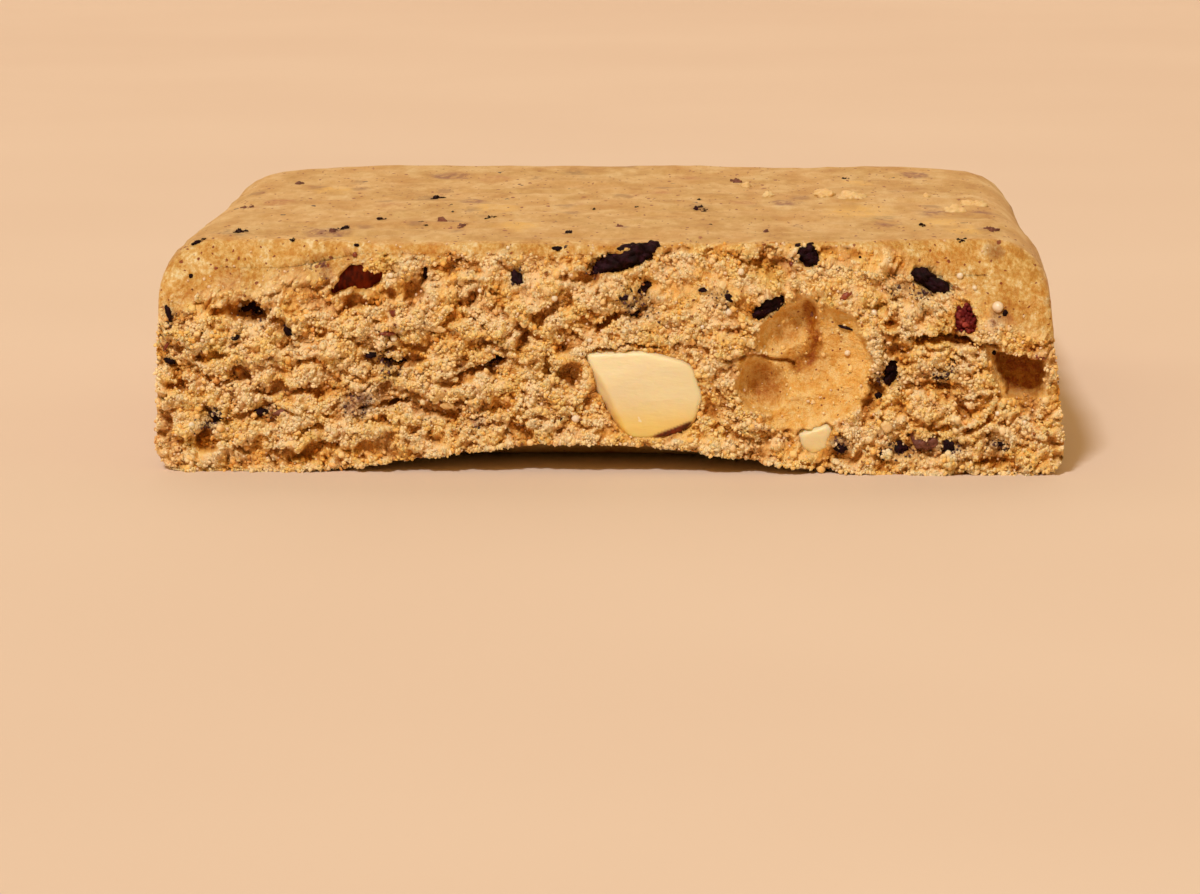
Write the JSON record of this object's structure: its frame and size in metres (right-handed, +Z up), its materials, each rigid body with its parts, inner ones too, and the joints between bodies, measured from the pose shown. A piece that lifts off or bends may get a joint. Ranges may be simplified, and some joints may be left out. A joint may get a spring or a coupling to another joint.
{
  "type": "half of a protein bar",
  "caption": "Half of a soft, chewy protein bar with a smooth moulded skin and a crumbly broken face that shows nut and fruit pieces.",
  "frame": {"origin": "middle of the flat base that the bar rests on", "axes": "+X across the bar, +Y along it from the broken face to the moulded end, +Z up"},
  "size_m": [0.0448, 0.0477, 0.0112],
  "materials": {
    "dough": "soft nut-brown dough: satin smooth skin outside, matt crumb on the broken face",
    "nut_flesh": "waxy cream-yellow almond flesh",
    "nut_skin": "dark red-brown almond skin, satin",
    "blue_fruit": "nearly black dried blueberry flesh, slightly moist",
    "red_fruit": "burgundy dried cranberry flesh, moist"
  },
  "bodies": {
    "root": {"bar_dough": "dough", "almond_chunk": "nut_flesh", "almond_sliver": "nut_flesh", "almond_skinned_piece": "nut_skin", "blueberry_top": "blue_fruit", "blueberry_nib": "blue_fruit", "blueberry_shoulder": "blue_fruit", "blueberry_slanted": "blue_fruit", "blueberry_side": "blue_fruit", "cranberry_bead": "red_fruit"}
  },
  "joints": []
}
